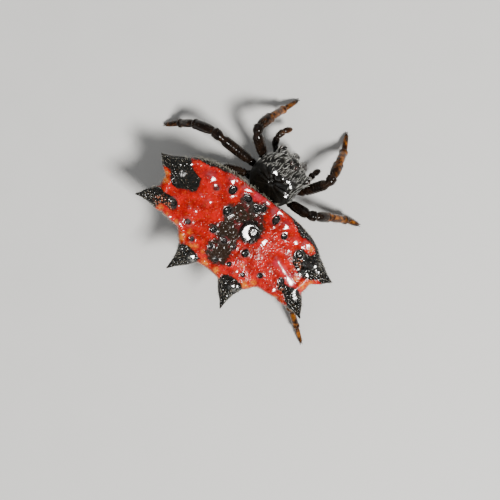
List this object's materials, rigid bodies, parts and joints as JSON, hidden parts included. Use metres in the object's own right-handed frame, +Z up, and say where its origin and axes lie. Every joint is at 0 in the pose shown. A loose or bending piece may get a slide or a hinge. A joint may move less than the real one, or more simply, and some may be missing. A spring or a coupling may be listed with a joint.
{
  "type": "spiny orb weaver",
  "caption": "Female spiny orb weaver at life size: flat red and black abdomen ringed with spines, dark hairy head, slender jointed legs standing on the floor",
  "frame": {"origin": "middle of the bottom of the bounding box, on the level of the feet", "axes": "+Z up, the head faces -Y, the animal's left side is +X"},
  "size_m": [0.0146, 0.0126, 0.0046],
  "materials": {
    "abdomen": "glossy, finely granular",
    "prosoma": "satin under pale bristles",
    "chelicera": "satin",
    "palp": "satin",
    "leg": "satin"
  },
  "bodies": {
    "root": {"abdomen": "abdomen", "prosoma": "prosoma", "chelicera_left": "chelicera", "chelicera_right": "chelicera", "palp_left": "palp", "palp_right": "palp", "leg_left_1": "leg", "leg_left_2": "leg", "leg_left_3": "leg", "leg_left_4": "leg", "leg_right_1": "leg", "leg_right_2": "leg", "leg_right_3": "leg", "leg_right_4": "leg"}
  },
  "joints": []
}
